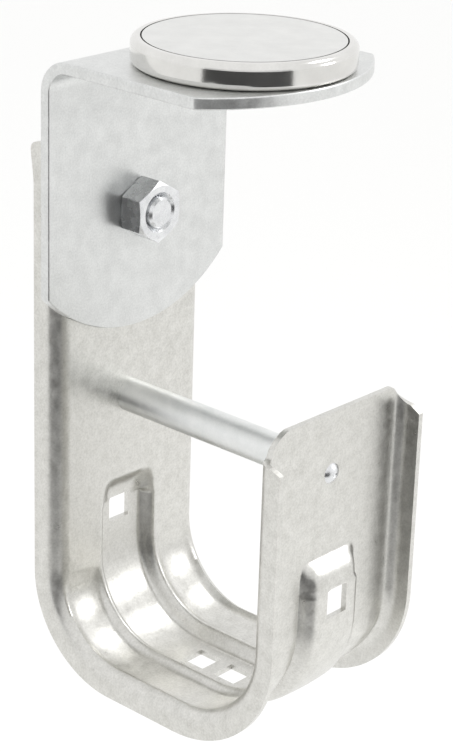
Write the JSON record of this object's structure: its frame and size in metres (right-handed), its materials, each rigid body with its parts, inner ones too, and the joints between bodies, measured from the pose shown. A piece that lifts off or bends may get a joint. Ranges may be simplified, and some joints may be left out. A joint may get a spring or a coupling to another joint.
{
  "type": "magnetic j hook cable support",
  "caption": "Pressed steel J hook with a retainer tube, bolted to an angle bracket that hangs from a round cup magnet.",
  "frame": {"origin": "centre of the magnet's holding face, on top of the part", "axes": "+Z out of the magnet's face, up; +Y towards the back plate; the cables run along X through the hook"},
  "size_m": [0.05, 0.0668, 0.1373],
  "materials": {
    "galvanised_sheet": "galvanised, fine mottle, satin",
    "zinc_plate": "zinc plated, satin",
    "zinc_hardware": "bright zinc plated",
    "zinc_tube": "zinc plated, smooth",
    "nickel_cup": "bright nickel plated",
    "magnet_plate": "nickel plated, satin"
  },
  "bodies": {
    "root": {"hook": "galvanised_sheet", "angle_bracket": "zinc_plate", "bracket_bolt": "zinc_hardware", "bracket_nut": "zinc_hardware", "retainer_tube": "zinc_tube", "retainer_rivet": "zinc_hardware", "magnet_cup": "nickel_cup", "magnet_disc": "magnet_plate", "magnet_stud": "zinc_hardware", "magnet_nut": "zinc_hardware"}
  },
  "joints": []
}
